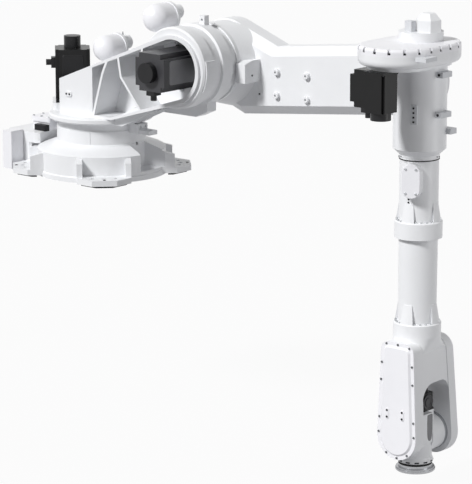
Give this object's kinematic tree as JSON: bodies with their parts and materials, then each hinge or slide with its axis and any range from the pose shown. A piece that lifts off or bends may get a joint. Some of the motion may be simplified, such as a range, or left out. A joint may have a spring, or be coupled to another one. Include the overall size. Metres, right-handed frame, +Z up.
{
  "type": "palletizing robot",
  "caption": "Six-axis articulated robot: bolt-down base, turning column, offset upper arm, hanging tubular forearm with a drive case on top, and a forked wrist with a round tool flange.",
  "frame": {"origin": "on the waist axis, in the mounting face under the four feet", "axes": "+X the way the arm points at rest, +Z up, -Y the side that carries the shoulder motor"},
  "size_m": [2.335, 0.6373, 1.84],
  "materials": {
    "casting_paint": "light grey satin paint",
    "cover_paint": "light grey satin paint",
    "motor_paint": "black satin paint",
    "motor_cap": "black moulded",
    "plug_plastic": "black moulded",
    "flange_steel": "blackened, worn to metal",
    "sole_steel": "dark zinc plated plate",
    "seal_rubber": "black",
    "bearing_steel": "machined",
    "bracket_paint": "light grey satin paint"
  },
  "bodies": {
    "base": {"base_casting": "casting_paint", "sole_plates": "sole_steel", "waist_bearing": "bearing_steel", "waist_stop": "bracket_paint", "rear_housing": "cover_paint", "gland_box": "motor_cap", "rear_lid": "cover_paint", "panel_box": "cover_paint"},
    "column": {"column_casting": "casting_paint", "shoulder_reducer": "bearing_steel", "shoulder_block": "casting_paint", "lifting_lug": "bracket_paint", "cable_elbow_low": "casting_paint", "cable_elbow_low_mount": "casting_paint", "cable_elbow_high": "casting_paint", "cable_elbow_high_mount": "casting_paint", "waist_motor": "motor_paint", "waist_motor_cap": "motor_cap", "waist_motor_plug": "plug_plastic", "shoulder_motor": "motor_paint", "shoulder_motor_cap": "motor_cap", "shoulder_motor_plug": "plug_plastic"},
    "upper_arm": {"arm_casting": "casting_paint", "arm_bosses": "bracket_paint", "arm_stop": "casting_paint", "shoulder_cover": "cover_paint", "elbow_cover": "cover_paint", "elbow_reducer": "bearing_steel"},
    "forearm_housing": {"elbow_casting": "casting_paint", "elbow_motor": "motor_paint", "elbow_motor_plug": "plug_plastic", "roll_motor": "motor_paint", "roll_motor_cap": "motor_cap", "belt_case": "casting_paint", "belt_lid": "cover_paint", "cap_tower": "cover_paint", "gland_cap": "cover_paint", "junction_box": "bracket_paint", "housing_clamps": "bracket_paint", "screw_plate": "bracket_paint", "case_bracket": "bracket_paint"},
    "forearm_tube": {"upper_tube": "casting_paint", "hatch_frame": "cover_paint", "hatch_lid": "cover_paint", "lower_tube": "casting_paint", "wrist_fork": "casting_paint", "near_wrist_cover": "cover_paint", "far_wrist_cover": "cover_paint", "tilt_reducer": "bearing_steel"},
    "wrist_tilt": {"tilt_housing": "casting_paint", "hand_motor": "motor_paint", "hand_motor_cap": "motor_cap", "tool_seat": "seal_rubber"},
    "tool_flange": {"tool_flange": "flange_steel"}
  },
  "joints": [
    {"name": "waist", "type": "hinge", "parent": "base", "child": "column", "pos_m": [0, 0, 0.241], "axis": [0, 0, 1], "range_deg": [-165, 165]},
    {"name": "shoulder", "type": "hinge", "parent": "column", "child": "upper_arm", "pos_m": [0.541, 0.078, 0.522], "axis": [0, 1, 0], "range_deg": [-95, 40]},
    {"name": "elbow", "type": "hinge", "parent": "upper_arm", "child": "forearm_housing", "pos_m": [1.505, 0.13, 0.532], "axis": [0, 1, 0], "range_deg": [-145, 50]},
    {"name": "forearm_roll", "type": "hinge", "parent": "forearm_housing", "child": "forearm_tube", "pos_m": [1.708, 0, 0.275], "axis": [0, 0, 1], "range_deg": [-200, 200]},
    {"name": "wrist_tilt", "type": "hinge", "parent": "forearm_tube", "child": "wrist_tilt", "pos_m": [1.708, 0.016, -0.855], "axis": [0, 1, 0], "range_deg": [-105, 105]},
    {"name": "tool_turn", "type": "hinge", "parent": "wrist_tilt", "child": "tool_flange", "pos_m": [1.708, 0, -0.967], "axis": [0, 0, -1], "range_deg": [-360, 360]}
  ]
}
